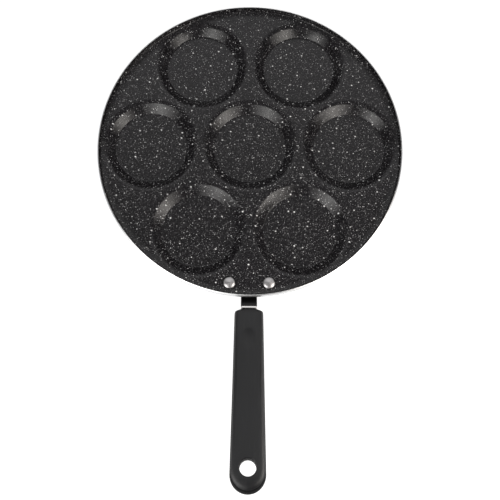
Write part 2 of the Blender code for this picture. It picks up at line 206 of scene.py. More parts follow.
# ------------------------------------------------------------------ material helpers
class Graph:
    """A material's node tree with short calls."""

    def __init__(self, name):
        self.mat = bpy.data.materials.new(name)
        self.mat.use_nodes = True
        self.tree = self.mat.node_tree
        self.tree.nodes.clear()
        self.out = self.node("ShaderNodeOutputMaterial")
        self.bsdf = self.node("ShaderNodeBsdfPrincipled")
        self.link(self.bsdf.outputs["BSDF"], self.out.inputs["Surface"])
        self.coords = self.node("ShaderNodeTexCoord").outputs["Object"]

    def node(self, kind, **values):
        n = self.tree.nodes.new(kind)
        for k, v in values.items():
            setattr(n, k, v)
        return n

    def link(self, a, b):
        self.tree.links.new(a, b)

    def put(self, socket, value):
        if isinstance(value, bpy.types.NodeSocket):
            self.link(value, socket)
        else:
            socket.default_value = value

    def set(self, **values):
        for k, v in values.items():
            self.put(self.bsdf.inputs[k.replace("_", " ")], v)

    def math(self, op, a, b=0.0, c=0.0, clamp=False):
        n = self.node("ShaderNodeMath", operation=op, use_clamp=clamp)
        for s, v in zip(n.inputs, (a, b, c)):
            self.put(s, v)
        return n.outputs[0]

    def vector(self, op, a, b=(0, 0, 0), scale=None):
        n = self.node("ShaderNodeVectorMath", operation=op)
        self.put(n.inputs[0], a)
        self.put(n.inputs[1], b)
        if scale is not None:
            self.put(n.inputs["Scale"], scale)
        return n.outputs["Value" if op in ("LENGTH", "DOT_PRODUCT", "DISTANCE") else "Vector"]

    def ramp(self, value, low, high, to_low=0.0, to_high=1.0):
        n = self.node("ShaderNodeMapRange", interpolation_type="SMOOTHSTEP")
        for s, v in zip(n.inputs, (value, low, high, to_low, to_high)):
            self.put(s, v)
        return n.outputs["Result"]

    def mix(self, factor, a, b, blend="MIX"):
        n = self.node("ShaderNodeMix", data_type="RGBA", blend_type=blend)
        self.put(n.inputs["Factor"], factor)
        self.put(n.inputs["A"], a)
        self.put(n.inputs["B"], b)
        return n.outputs["Result"]

    def noise(self, scale, detail=3.0, rough=0.5, coords=None, out="Fac", distortion=0.0):
        n = self.node("ShaderNodeTexNoise")
        self.put(n.inputs["Vector"], self.coords if coords is None else coords)
        for k, v in (("Scale", scale), ("Detail", detail), ("Roughness", rough), ("Distortion", distortion)):
            n.inputs[k].default_value = v
        return n.outputs[out]

    def cells(self, scale, coords=None, space="3D"):
        """Distance to a scattered point and that point's random colour."""
        n = self.node("ShaderNodeTexVoronoi", feature="F1", voronoi_dimensions=space)
        self.put(n.inputs["Vector"], self.coords if coords is None else coords)
        n.inputs["Scale"].default_value = scale
        return n.outputs["Distance"], n.outputs["Color"]

    def drawn(self, coords, degrees, stretch):
        """Plan coordinates in which round things come out longer by stretch, across a direction."""
        n = self.node("ShaderNodeMapping", vector_type="TEXTURE")
        self.link(coords, n.inputs["Vector"])
        n.inputs["Rotation"].default_value = (0.0, 0.0, math.radians(degrees))
        n.inputs["Scale"].default_value = (1.0, stretch, 1.0)
        return n.outputs[0]

    def split(self, colour):
        n = self.node("ShaderNodeSeparateColor")
        self.link(colour, n.inputs[0])
        return n.outputs

    def xyz(self, coords=None):
        n = self.node("ShaderNodeSeparateXYZ")
        self.link(self.coords if coords is None else coords, n.inputs[0])
        return n.outputs

    def join(self, x, y, z):
        n = self.node("ShaderNodeCombineXYZ")
        for s, v in zip(n.inputs, (x, y, z)):
            self.put(s, v)
        return n.outputs[0]

    def bump(self, height, distance, strength=1.0, normal=None):
        n = self.node("ShaderNodeBump")
        n.inputs["Strength"].default_value = strength
        n.inputs["Distance"].default_value = distance
        self.link(height, n.inputs["Height"])
        if normal is not None:
            self.link(normal, n.inputs["Normal"])
        return n.outputs[0]


def speckles(g, coords, scale, reach, share, power=1.0, soft=0.25):
    """Scattered droplets: (mask, brightness). reach is the largest droplet's radius in cells, share how many cells have one."""
    distance, colour = g.cells(scale, coords, "2D")
    r, gr, b = g.split(colour)[:3]
    # the droplet's radius follows a random number; a cell over the share has none
    size = g.math("MULTIPLY", g.math("POWER", r, power), reach)
    there = g.math("LESS_THAN", gr, share)
    radius = g.math("MAXIMUM", g.math("MULTIPLY", size, there), 1e-5)
    inner = g.math("MULTIPLY", radius, 1.0 - soft)
    mask = g.ramp(distance, inner, radius, 1.0, 0.0)
    mask = g.math("MULTIPLY", mask, there)
    return mask, b


def coat_top():
    """Non-stick coat: near-black, a fine sandy grain, and four sizes of pale droplets, the larger ones drawn out."""
    g = Graph("speckled_coat")
    x, y, z = g.xyz()[:3]
    # on the rim wall the height is laid outwards, so the droplets keep their size there
    lift = g.math("ADD", 1.0, g.math("DIVIDE", g.math("MAXIMUM", g.math("SUBTRACT", z, DECK_Z * MM), 0.0), 0.1327))
    flat = g.join(g.math("MULTIPLY", x, lift), g.math("MULTIPLY", y, lift), 0.0)
    wobble = g.vector("SUBTRACT", g.noise(1500, 2.0, 0.6, coords=flat, out="Color"), (0.5, 0.5, 0.5))
    warped = g.vector("ADD", flat, g.vector("SCALE", wobble, scale=0.0002))
    crowd = g.ramp(g.noise(70, 2.0, 0.5, coords=flat), 0.3, 0.7, 0.7, 1.3)
    dust, dust_b = speckles(g, warped, 1350, 0.40, 0.62, 0.7)
    fine, fine_b = speckles(g, warped, 800, 0.26, g.math("MULTIPLY", crowd, 0.27), 0.6)
    medium, medium_b = speckles(g, g.drawn(warped, 25, 1.5), 360, 0.122, g.math("MULTIPLY", crowd, 0.135), 0.8)
    other, other_b = speckles(g, g.drawn(warped, -50, 1.3), 370, 0.122, g.math("MULTIPLY", crowd, 0.135), 0.8)
    large, large_b = speckles(g, g.drawn(warped, 80, 1.25), 200, 0.150, g.math("MULTIPLY", crowd, 0.34), 1.2)
    cloud = g.noise(45, 4.0, 0.6)
    grain = g.noise(2100, 3.0, 0.65)
    base = g.mix(cloud, (0.0038, 0.0032, 0.0041, 1), (0.0060, 0.0052, 0.0064, 1))
    sand, glint = g.split(g.cells(1180, warped, "2D")[1])[:2]
    base = g.mix(g.math("POWER", sand, 3.0), base, (0.028, 0.0255, 0.0288, 1))
    base = g.mix(g.ramp(grain, 0.42, 0.70, 0.0, 0.4), base, (0.022, 0.0215, 0.022, 1))
    # droplets sink into the coat at their rims, so their paleness varies
    colour = g.mix(g.math("MULTIPLY", dust, g.ramp(dust_b, 0.5, 1.0, 0.0, 0.34)), base, (0.70, 0.69, 0.70, 1))
    colour = g.mix(g.math("MULTIPLY", fine, g.ramp(fine_b, 0.2, 1.0, 0.0, 1.0)), colour, (0.90, 0.89, 0.90, 1))
    colour = g.mix(g.math("MULTIPLY", medium, g.ramp(medium_b, 0.0, 1.0, 0.35, 1.0)), colour, (0.93, 0.92, 0.92, 1))
    colour = g.mix(g.math("MULTIPLY", other, g.ramp(other_b, 0.0, 1.0, 0.35, 1.0)), colour, (0.93, 0.92, 0.92, 1))
    colour = g.mix(g.math("MULTIPLY", large, g.ramp(large_b, 0.0, 1.0, 0.65, 1.0)), colour, (0.96, 0.95, 0.95, 1))
    spots = g.math("MAXIMUM", g.math("MAXIMUM", fine, g.math("MAXIMUM", medium, other)), large)
    peel = g.noise(640, 1.5, 0.5)
    rough = g.ramp(g.noise(90, 3.0), 0.2, 0.8, 0.145, 0.185)
    rough = g.math("ADD", rough, g.math("MULTIPLY", spots, 0.16))
    relief = g.math("ADD", g.math("MULTIPLY", grain, 0.12), g.math("ADD", g.math("MULTIPLY", peel, 0.8), g.math("MULTIPLY", spots, 0.3)))
    # the grit breaks up the gloss from grain to grain
    rough = g.math("ADD", rough, g.ramp(glint, 0.0, 1.0, -0.03, 0.06))
    g.set(Base_Color=colour, Roughness=rough, Normal=g.bump(relief, 0.00004, 0.9))
    g.bsdf.inputs["Specular IOR Level"].default_value = 0.37
    return g.mat


def coat_under():
    """Heat-resistant black paint on the outside: satin, slightly brown, rubbed thin where it meets stove and sink."""
    g = Graph("underside_paint")
    cloud = g.noise(38, 5.0, 0.62)
    peel = g.noise(420, 3.0, 0.5)
    grain = g.noise(2600, 2.0, 0.6)
    colour = g.mix(cloud, (0.012, 0.0115, 0.011, 1), (0.021, 0.020, 0.019, 1))
    # dull grey rubs and a little dust
    rub = g.math("MULTIPLY", g.ramp(g.noise(130, 6.0, 0.7), 0.60, 0.78, 0.0, 0.5), g.ramp(g.noise(16, 2.0), 0.45, 0.65))
    colour = g.mix(rub, colour, (0.075, 0.073, 0.070, 1))
    rough = g.math("ADD", g.ramp(cloud, 0.3, 0.7, 0.42, 0.54), g.math("MULTIPLY", rub, 0.2))
    relief = g.math("ADD", g.math("MULTIPLY", peel, 1.0), g.math("MULTIPLY", grain, 0.35))
    g.set(Base_Color=colour, Roughness=rough, Normal=g.bump(relief, 0.00007, 0.9))
    return g.mat


def bare_lip():
    """Turned aluminium edge: fine tool lines round the pan, small nicks."""
    g = Graph("turned_lip")
    x, y, z = g.xyz()[:3]
    radius = g.math("SQRT", g.math("ADD", g.math("MULTIPLY", x, x), g.math("MULTIPLY", y, y)))
    lines = g.noise(9000, 2.0, 0.6, coords=g.join(radius, g.math("MULTIPLY", z, 0.6), 0.0))
    broad = g.noise(60, 3.0)
    nick = g.ramp(g.noise(420, 4.0, 0.7), 0.66, 0.74)
    colour = g.mix(lines, (0.78, 0.78, 0.79, 1), (0.90, 0.90, 0.905, 1))
    colour = g.mix(g.math("MULTIPLY", nick, 0.4), colour, (0.46, 0.455, 0.45, 1))
    rough = g.math("ADD", g.ramp(lines, 0.3, 0.7, 0.24, 0.36), g.ramp(broad, 0.3, 0.7, -0.03, 0.05))
    relief = g.math("SUBTRACT", lines, g.math("MULTIPLY", nick, 1.5))
    g.set(Base_Color=colour, Metallic=1.0, Roughness=rough, Normal=g.bump(relief, 0.000012, 0.7))
    return g.mat


def turned_base():
    """The cups' undersides: faced on a lathe after painting, ring marks about each cup's own middle, and stove wear."""
    g = Graph("turned_base")
    x, y, z = g.xyz()[:3]
    nearest = None
    for cx, cy in CUPS:
        dx, dy = g.math("SUBTRACT", x, cx * MM), g.math("SUBTRACT", y, cy * MM)
        d = g.math("SQRT", g.math("ADD", g.math("MULTIPLY", dx, dx), g.math("MULTIPLY", dy, dy)))
        nearest = d if nearest is None else g.math("MINIMUM", nearest, d)
    wave = g.math("SINE", g.math("MULTIPLY", nearest, 2 * math.pi / 0.0008))
    lines = g.noise(5200, 3.0, 0.7, coords=g.join(nearest, 0.0, 0.0))
    stain = g.noise(48, 5.0, 0.65)
    scratch_at = g.join(g.math("MULTIPLY", x, 0.15), g.math("ADD", y, g.math("MULTIPLY", x, 0.4)), 0.0)
    scratch = g.ramp(g.noise(2600, 2.0, 0.8, coords=scratch_at), 0.70, 0.78)
    colour = g.mix(lines, (0.60, 0.595, 0.585, 1), (0.82, 0.815, 0.80, 1))
    colour = g.mix(g.ramp(stain, 0.52, 0.78, 0.0, 0.45), colour, (0.40, 0.37, 0.33, 1))
    colour = g.mix(g.math("MULTIPLY", scratch, 0.25), colour, (0.92, 0.92, 0.92, 1))
    rough = g.math("ADD", g.ramp(lines, 0.25, 0.75, 0.26, 0.42), g.ramp(stain, 0.5, 0.8, 0.0, 0.18))
    relief = g.math("ADD", g.math("ADD", g.math("MULTIPLY", wave, 0.5), lines), g.math("MULTIPLY", scratch, -0.6))
    g.set(Base_Color=colour, Metallic=1.0, Roughness=rough, Normal=g.bump(relief, 0.000016, 0.8))
    return g.mat


def rivet_metal():
    g = Graph("rivet_aluminium")
    fine = g.noise(5200, 3.0, 0.6)
    broad = g.noise(420, 3.0, 0.6)
    pit = g.ramp(g.noise(1500, 4.0, 0.7), 0.68, 0.76)
    colour = g.mix(broad, (0.47, 0.455, 0.46, 1), (0.55, 0.535, 0.54, 1))
    colour = g.mix(g.math("MULTIPLY", pit, 0.35), colour, (0.42, 0.40, 0.41, 1))
    rough = g.ramp(broad, 0.25, 0.75, 0.27, 0.36)
    relief = g.math("SUBTRACT", g.math("ADD", g.math("MULTIPLY", fine, 0.4), g.math("MULTIPLY", broad, 1.2)), pit)
    g.set(Base_Color=colour, Metallic=1.0, Roughness=rough, Normal=g.bump(relief, 0.00003, 0.6))
    return g.mat


def bracket_paint():
    """Black baked paint on a cast bracket."""
    g = Graph("bracket_paint")
    peel = g.noise(900, 3.0, 0.55)
    cloud = g.noise(70, 4.0, 0.6)
    grain = g.noise(3600, 2.0, 0.6)
    colour = g.mix(cloud, (0.0045, 0.0045, 0.0048, 1), (0.0095, 0.0095, 0.0100, 1))
    chip = g.ramp(g.noise(520, 5.0, 0.72), 0.715, 0.75)
    colour = g.mix(g.math("MULTIPLY", chip, 0.5), colour, (0.10, 0.10, 0.10, 1))
    rough = g.math("ADD", g.ramp(cloud, 0.3, 0.7, 0.32, 0.42), g.math("MULTIPLY", chip, 0.2))
    relief = g.math("SUBTRACT", g.math("ADD", peel, g.math("MULTIPLY", grain, 0.3)), chip)
    g.set(Base_Color=colour, Roughness=rough, Normal=g.bump(relief, 0.00003, 0.8))
    g.bsdf.inputs["Specular IOR Level"].default_value = 0.28
    return g.mat


def collar_metal():
    """Polished sleeve with light draw marks along it."""
    g = Graph("collar_steel")
    x, y, z = g.xyz()[:3]
    lines = g.noise(2600, 3.0, 0.6, coords=g.join(g.math("MULTIPLY", x, 2.2), g.math("MULTIPLY", y, 0.1), g.math("MULTIPLY", z, 2.2)))
    broad = g.noise(260, 3.0)
    smear = g.ramp(g.noise(900, 4.0, 0.7), 0.6, 0.75)
    colour = g.mix(lines, (0.86, 0.84, 0.825, 1), (0.95, 0.93, 0.915, 1))
    colour = g.mix(g.math("MULTIPLY", smear, 0.15), colour, (0.60, 0.58, 0.56, 1))
    rough = g.math("ADD", g.ramp(lines, 0.3, 0.7, 0.20, 0.30), g.ramp(broad, 0.3, 0.7, -0.02, 0.06))
    g.set(Base_Color=colour, Metallic=1.0, Roughness=rough, Normal=g.bump(lines, 0.00001, 0.6))
    return g.mat


def grip_phenolic():
    """Moulded heat-resistant plastic: matte black, fine spark-eroded grain, flow streaks, polished where a hand rubs."""
    g = Graph("grip_black")
    x, y, z = g.xyz()[:3]
    grain = g.noise(3000, 3.0, 0.62)
    dots, _ = g.cells(2100)
    cloud = g.noise(55, 4.0, 0.6)
    flow = g.noise(300, 4.0, 0.6, coords=g.join(g.math("MULTIPLY", x, 1.6), g.math("MULTIPLY", y, 0.12), g.math("MULTIPLY", z, 0.5)))
    colour = g.mix(cloud, (0.0034, 0.0034, 0.0044, 1), (0.0060, 0.0060, 0.0073, 1))
    colour = g.mix(g.ramp(flow, 0.48, 0.75, 0.0, 0.5), colour, (0.0115, 0.0115, 0.0128, 1))
    colour = g.mix(g.ramp(grain, 0.55, 0.8, 0.0, 0.6), colour, (0.018, 0.018, 0.019, 1))
    rough = g.math("ADD", g.ramp(cloud, 0.3, 0.7, 0.34, 0.44), g.ramp(grain, 0.3, 0.7, -0.03, 0.05))
    relief = g.math("ADD", grain, g.math("ADD", g.math("MULTIPLY", dots, 0.5), g.math("MULTIPLY", flow, 0.6)))
    g.set(Base_Color=colour, Roughness=rough, Normal=g.bump(relief, 0.00004, 0.8))
    return g.mat


def grip_flank_painted_shade():
    """The grip's sides, underside and hole: the same plastic, rougher and a shade darker, with its reflection turned
    far down as painted shade that keeps these faces dark.
    """
    g = Graph("grip_dull_painted_shade")
    grain = g.noise(2600, 3.0, 0.65)
    cloud = g.noise(60, 4.0, 0.6)
    colour = g.mix(cloud, (0.0030, 0.0030, 0.0034, 1), (0.0058, 0.0058, 0.0063, 1))
    colour = g.mix(g.ramp(grain, 0.55, 0.8, 0.0, 0.5), colour, (0.013, 0.013, 0.0135, 1))
    g.set(Base_Color=colour, Roughness=g.ramp(grain, 0.3, 0.7, 0.56, 0.68), Normal=g.bump(grain, 0.00004, 0.8))
    # this weak reflection is painted shade: it keeps the sides and the hole's wall dark
    g.bsdf.inputs["Specular IOR Level"].default_value = 0.07
    return g.mat


def screw_steel():
    g = Graph("screw_zinc")
    x, y, z = g.xyz()[:3]
    broad = g.noise(500, 3.0, 0.6)
    fine = g.noise(4200, 3.0, 0.6)
    colour = g.mix(broad, (0.56, 0.57, 0.58, 1), (0.72, 0.725, 0.73, 1))
    colour = g.mix(g.ramp(g.noise(900, 5.0, 0.7), 0.58, 0.74, 0.0, 0.5), colour, (0.30, 0.28, 0.25, 1))
    rough = g.ramp(broad, 0.25, 0.75, 0.26, 0.42)
    g.set(Base_Color=colour, Metallic=1.0, Roughness=rough, Normal=g.bump(fine, 0.00002, 0.7))
    return g.mat


# ------------------------------------------------------------------ pan body
WALL_R = 125.9  # outside this radius the mesh is rings round the pan, inside it is fitted to the cups
WALL_UNDER_R = 128.6
COAT_EDGE_R = 133.34  # the coat ends on the rim's crest, outside it the metal is bare

LIP_BLEND = 2.0  # how softly a cup's wall runs over into the deck
# a cup's wall is nearly straight and eases off slightly upwards; it is drawn past the deck and blended into it
cup_in = Profile([(0, FLOOR_Z), (32.1, FLOOR_Z), (37.0, 7.62), (60, 27.30)], (2.4, 236.0))
rim_in = Profile([(0, DECK_Z), (129.5, DECK_Z), (132.5, 12.13), (133.12, 16.72)], (13.0, 0.8))
crest = [(133.12, 16.72), (133.19, 17.0), (133.38, 17.0), (134.12, 16.60), (135.0, 15.35), (134.97, 15.0)]
cup_out = Profile([(0, 0), (34.8, 0), (41.8, UNDER_Z), (60, UNDER_Z)], (0.9, 2.5))


def hollowed(z, gx, gy, x, y):
    """The inside surface: a sheet's height and gradient with the seven cups sunk into it by a smooth minimum."""
    for cx, cy in CUPS:
        d = np.hypot(x - cx, y - cy)
        deep = cup_in.height(d)
        s = cup_in.grade(d) / np.maximum(d, 1e-9)
        h = np.clip(0.5 + 0.5 * (z - deep) / LIP_BLEND, 0.0, 1.0)
        z = z * (1 - h) + deep * h - LIP_BLEND * h * (1 - h)
        gx = gx * (1 - h) + s * (x - cx) * h
        gy = gy * (1 - h) + s * (y - cy) * h
    return z, gx, gy


def cup_sum(profile, level, x, y):
    """What the seven cups add to a level sheet, with its gradient."""
    z, gx, gy = np.zeros_like(x), np.zeros_like(x), np.zeros_like(x)
    for cx, cy in CUPS:
        d = np.hypot(x - cx, y - cy)
        z += profile.height(d) - level
        s = profile.grade(d) / np.maximum(d, 1e-9)
        gx += s * (x - cx)
        gy += s * (y - cy)
    return z, gx, gy


def sheet_gradient(cups, x, y):
    if cups is cup_in:
        return hollowed(0.0 * x + DECK_Z, 0.0 * x, 0.0 * x, x, y)[1:]
    return cup_sum(cups, 0.0, x, y)[1:]


def plan_points(profile, step, edge, extra, cup_segments, far):
    """Plan points for one side of the pan: rings about each cup, rings about the rivet holes, and a grid between."""
    ring_radii = profile.rings(step, extra)
    parts = []
    for cx, cy in CUPS:
        parts.append(np.array([[cx, cy]]))
        for r in ring_radii:
            if r > CUP_PITCH / 2 - 0.5:
                continue
            count = cup_segments if r > 24 else (cup_segments // 2 if r > 12 else 24)
            ring = circle(cx, cy, r, count)
            parts.append(ring[np.hypot(ring[:, 0], ring[:, 1]) < edge - 0.45])
    holes = []
    for cx, cy in RIVETS:
        for r in (RIVET_HOLE_R, 3.6, 4.6, 6.0):
            holes.append(circle(cx, cy, r, 24))
    grid = []
    for j in range(-40, 41):
        for i in range(-40, 41):
            grid.append(((i + 0.5 * (j % 2)) * 4.2, j * 4.2 * 0.866))
    grid = np.array(grid)
    clear = np.hypot(grid[:, 0], grid[:, 1]) < edge - 2.0
    for cx, cy in CUPS:
        clear &= np.hypot(grid[:, 0] - cx, grid[:, 1] - cy) > far + 1.6
    for cx, cy in RIVETS:
        clear &= np.hypot(grid[:, 0] - cx, grid[:, 1] - cy) > 7.6
    parts += [grid[clear]]
    return np.concatenate(parts), holes


def make_pan(materials):
    coat, lip, paint, base = range(4)
    shell = Shell()
    around = 480
    angle = np.arange(around) * 2 * math.pi / around
    cos, sin = np.cos(angle), np.sin(angle)

    def ring_at(radius, z, cup=None, level=0.0):
        x, y = radius * cos, radius * sin
        height = np.full(around, float(z))
        if cup is cup_in:
            # the wall's foot drops where a cup runs into it, its upper part stays level
            foot = rim_in.height(min(radius, 132.0))
            drop = foot - hollowed(np.full(around, float(foot)), 0.0 * x, 0.0 * x, x, y)[0]
            height -= drop * min(max((13.6 - z) / (13.6 - rim_in.height(132.0)), 0.0), 1.0)
        elif cup is not None:
            height += cup_sum(cup, level, x, y)[0]
        return np.stack([x, y, height], 1)

    # rings over the rim: up the inside wall, over the lip, down the outside to the deck's underside
    curved = filleted(rim_in.points, rim_in.radii, 7.0)
    low = np.arange(WALL_R, 132.0, 0.68)
    inner = [(r, rim_in.height(r)) for r in low] + [tuple(p) for p in curved[1:] if p[0] > low[-1] + 0.2]
    lip_line = filleted(crest, (0.15, 0.08, 0.3, 0.25), 10.0)[1:]
    outer = filleted([lip_line[-1], (134.9, 13.0), (133.0, UNDER_Z), (WALL_UNDER_R, UNDER_Z)], (2.0, 1.5), 9.0)[1:]
    cap_edge = None
    rings, kinds, arc = [], [], [0.0]
    for r, z in inner:
        rings.append(ring_at(r, z, cup_in, DECK_Z))
        kinds.append(coat)
    for r, z in lip_line:
        rings.append(ring_at(r, z))
        kinds.append(lip if r > COAT_EDGE_R else coat)
    widest = len(inner) + int(np.argmax(lip_line[:, 0]))
    for r, z in outer:
        rings.append(ring_at(r, z, cup_out if r < 133.1 else None, UNDER_Z))
        kinds.append(paint)
    profile = np.array(inner + [tuple(p) for p in lip_line] + [tuple(p) for p in outer])
    numbers = [shell.add(r) for r in rings]
    for k in range(len(numbers) - 1):
        shell.strip(numbers[k], numbers[k + 1], kinds[k + 1])

    # the two sheets inside the rings
    sheets = {}
    for side, cups, level, edge, extra, slot, ring_no in (
        ("top", cup_in, DECK_Z, WALL_R, (4, 10, 17, 24, 29, 38.7, 39.3, 39.9, 40.5, 41.1, 41.8, 42.6, 43.4), coat, 0),
        ("under", cup_out, UNDER_Z, WALL_UNDER_R, (4, 10, 17, 24, 30, 33.0, 36.6, 39.4), paint, len(numbers) - 1),
    ):
        inside, holes = plan_points(cups, 5.0 if side == "top" else 11.0, edge, extra, 144 if side == "top" else 108, 43.6 if side == "top" else 43.0)
        hole_points = np.concatenate(holes)
        plan = np.concatenate([inside, hole_points])
        if side == "top":
            flat = np.zeros(len(plan))
            z = hollowed(flat + DECK_Z, flat, flat, plan[:, 0], plan[:, 1])[0]
        else:
            z = level + cup_sum(cups, level, plan[:, 0], plan[:, 1])[0]
        mine = shell.add(np.column_stack([plan, z]))
        numbers_all = np.concatenate([mine, numbers[ring_no]])
        rim_plan = rings[ring_no][:, :2]

        def keep(x, y):
            ok = np.hypot(x, y) < edge
            for cx, cy in RIVETS:
                ok &= np.hypot(x - cx, y - cy) > RIVET_HOLE_R * math.cos(math.pi / 24) - 1e-3
            return ok

        both = np.concatenate([plan, rim_plan])
        for tri in triangulate(both, keep):
            middle = both[tri].mean(0)
            here = slot
            if side == "under" and min(math.hypot(middle[0] - cx, middle[1] - cy) for cx, cy in CUPS) < 34.15:
                here = base
            shell.face(numbers_all[tri], here)
        first = len(inside)
        sheets[side] = [mine[first + 96 * h : first + 96 * h + 24] for h in range(2)]
    for upper, lower in zip(sheets["top"], sheets["under"]):
        shell.strip(upper, lower, coat)

    me = shell.mesh("pan_shell", materials)
    outward(me)

    # analytic normals on the two sheets, so the long triangles between rings don't show
    points = np.concatenate(shell.points)
    exact = np.zeros((len(points), 3))
    known = np.zeros(len(points), bool)
    plan_r = np.hypot(points[:, 0], points[:, 1])
    start = sum(len(n) for n in numbers)
    under_start = int(min(sheets["under"][0])) - 0
    lengths = [len(p) for p in shell.points]
    offsets = np.cumsum([0] + lengths)
    for part, (cups, sign) in ((len(lengths) - 2, (cup_in, 1.0)), (len(lengths) - 1, (cup_out, -1.0))):
        at = np.arange(offsets[part], offsets[part + 1])
        gx, gy = sheet_gradient(cups, points[at, 0], points[at, 1])
        n = np.column_stack([-gx, -gy, np.ones(len(at))]) * sign
        exact[at] = n / np.linalg.norm(n, axis=1)[:, None]
        known[at] = True
    # the first ring joins the top sheet
    for ring_no, cups, sign in ((0, cup_in, 1.0), (len(numbers) - 1, cup_out, -1.0)):
        at = numbers[ring_no]
        gx, gy = sheet_gradient(cups, points[at, 0], points[at, 1])
        n = np.column_stack([-gx, -gy, np.ones(len(at))]) * sign
        exact[at] = n / np.linalg.norm(n, axis=1)[:, None]
        known[at] = True
    hole_edge = np.concatenate(sheets["top"] + sheets["under"])
    known[hole_edge] = False

    me.set_sharp_from_angle(angle=math.radians(22))
    corner_vertex = np.zeros(len(me.loops), np.int64)
    me.loops.foreach_get("vertex_index", corner_vertex)
    normals = np.zeros(len(me.loops) * 3, np.float32)
    me.corner_normals.foreach_get("vector", normals)
    normals = normals.reshape(-1, 3)
    swap = known[corner_vertex]
    normals[swap] = exact[corner_vertex[swap]]
    me.normals_split_custom_set(normals.tolist())

    # a map of its own: the top side laid out large, the underside smaller beside it
    steps = np.hypot(*np.diff(profile, axis=0).T)
    run = np.concatenate([[0], np.cumsum(steps)])
    reach = np.zeros(len(points))
    which = np.zeros(len(points), int)  # 0 top, 1 under
    reach[:] = plan_r
    for k, ring in enumerate(numbers):
        reach[ring] = WALL_R + run[k] if k <= widest else WALL_UNDER_R + (run[-1] - run[k])
    which[offsets[-2] : offsets[-1]] = 1
    top_scale = 0.366 / (WALL_R + run[widest])
    under_scale = 0.212 / (WALL_UNDER_R + run[-1] - run[widest])
    top_at, under_at = np.array([0.370, 0.370]), np.array([0.785, 0.785])
    ring_of = np.full(len(points), -1)
    for k, ring in enumerate(numbers):
        ring_of[ring] = k
    layer = me.uv_layers.new(name="OFBake")
    uv = np.zeros((len(me.loops), 2), np.float32)
    starts = np.zeros(len(me.polygons), np.int64)
    totals = np.zeros(len(me.polygons), np.int64)
    me.polygons.foreach_get("loop_start", starts)
    me.polygons.foreach_get("loop_total", totals)
    for first, total in zip(starts, totals):
        vs = corner_vertex[first : first + total]
        rings_here = ring_of[vs]
        in_sheet = which[vs]
        on_rings = rings_here[rings_here >= 0]
        sheet = in_sheet[rings_here < 0]
        if len(sheet) and sheet.min() != sheet.max():  # a rivet hole's wall
            low = in_sheet.astype(bool)
            for j, v in enumerate(vs):
                cx, cy = RIVETS[0] if points[v, 0] < 0 else RIVETS[1]
                k = 0.6 if low[j] else 1.0
                px = cx + (points[v, 0] - cx) * k
                py = cy + (points[v, 1] - cy) * k
                uv[first + j] = top_at + np.array([px, py]) * top_scale
            continue
        if len(sheet):
            under = bool(sheet[0])
        else:
            under = on_rings.max() > widest or (on_rings.min() >= widest)
        for j, v in enumerate(vs):
            k = ring_of[v]
            far = plan_r[v] if k < 0 else (WALL_UNDER_R + run[-1] - run[k] if under else WALL_R + run[k])
            direction = points[v, :2] / max(plan_r[v], 1e-9)
            if under:
                uv[first + j] = under_at + direction * np.array([-1, 1]) * far * under_scale
            else:
                uv[first + j] = top_at + direction * far * top_scale
    layer.uv.foreach_set("vector", uv.ravel())
    return new_object("pan_shell", me)


# ------------------------------------------------------------------ grip
def plan_line(front, side, nose):
    """Right half of the widest outline, front to tip: a wide arc, a small corner, a straight side, a round tip."""
    x = np.linspace(0.0, 1.0, front + 1) * SHOULDER_W
    line = [(float(v), BULGE_R - math.sqrt(BULGE_R**2 - v**2)) for v in x]
    corner = filleted([line[-2], line[-1], (side_at(12.0), 12.0)], (CORNER_R,), 9.0)
    keep = [p for p in line[:-1] if p[0] < corner[1][0] - 0.15]
    pts = keep + [tuple(p) for p in corner[1:-1]]
    start = pts[-1][1] + 0.8
    for i in range(side):
        u = start + (NOSE_AT - start) * i / (side - 1)
        pts.append((side_at(u), u))
    for i in range(1, nose + 1):
        a = math.pi / 2 * i / nose
        pts.append((NOSE_W * math.cos(a), NOSE_AT + (GRIP_L - NOSE_AT) * math.sin(a)))
    return np.array(pts)


def side_at(u):
    return SHOULDER_W + 0.1 + (NOSE_W - SHOULDER_W - 0.1) * (u - 3.0) / (NOSE_AT - 3.0)


fine_line = plan_line(400, 60, 400)


def half_width(u):
    """Half width of the grip's widest outline at a distance along it."""
    return np.interp(np.asarray(u, float), fine_line[:, 1], fine_line[:, 0])


def outline():
    return plan_line(14, 46, 26)


# (height, inset at the sides, at the front, at the tip) from the underside's middle to the crown's
SECTION = np.array(
    [
        (-7.40, 13.6, 10.0, 15.0),
        (-7.36, 7.6, 5.5, 9.0),
        (-6.95, 4.0, 2.6, 5.4),
        (-5.85, 1.7, 1.0, 2.7),
        (-4.00, 0.4, 0.3, 0.9),
        (-1.80, 0.0, 0.0, 0.0),
        (1.60, 0.15, 0.03, 0.7),
        (4.20, 0.65, 0.18, 2.0),
        (5.75, 1.65, 0.55, 3.5),
        (6.60, 3.4, 1.6, 5.4),
        (7.18, 7.6, 5.5, 9.2),
        (7.38, 13.6, 10.0, 15.0),
    ]
)
WIDEST = 5


def section(t):
    """The section table at a fractional row, smoothly."""
    t = np.clip(np.asarray(t, float), 0, len(SECTION) - 1 - 1e-9)
    i = np.floor(t).astype(int)
    f = (t - i)[..., None]
    padded = np.concatenate([2 * SECTION[:1] - SECTION[1:2], SECTION, 2 * SECTION[-1:] - SECTION[-2:-1]])
    p0, p1, p2, p3 = (padded[i + k] for k in range(4))

    def gap(a, b):
        return np.maximum(np.linalg.norm((b - a)[..., :2], axis=-1, keepdims=True), 1e-6) ** 0.5

    a01, a12, a23 = gap(p0, p1), gap(p1, p2), gap(p2, p3)
    m1 = (p2 - p1) + a12 * ((p1 - p0) / a01 - (p2 - p0) / (a01 + a12))
    m2 = (p2 - p1) + a12 * ((p3 - p2) / a23 - (p3 - p1) / (a12 + a23))
    h = (2 * f**3 - 3 * f**2 + 1) * p1 + (f**3 - 2 * f**2 + f) * m1 + (3 * f**2 - 2 * f**3) * p2 + (f**3 - f**2) * m2
    return np.maximum(h, [-9, 0, 0, 0])


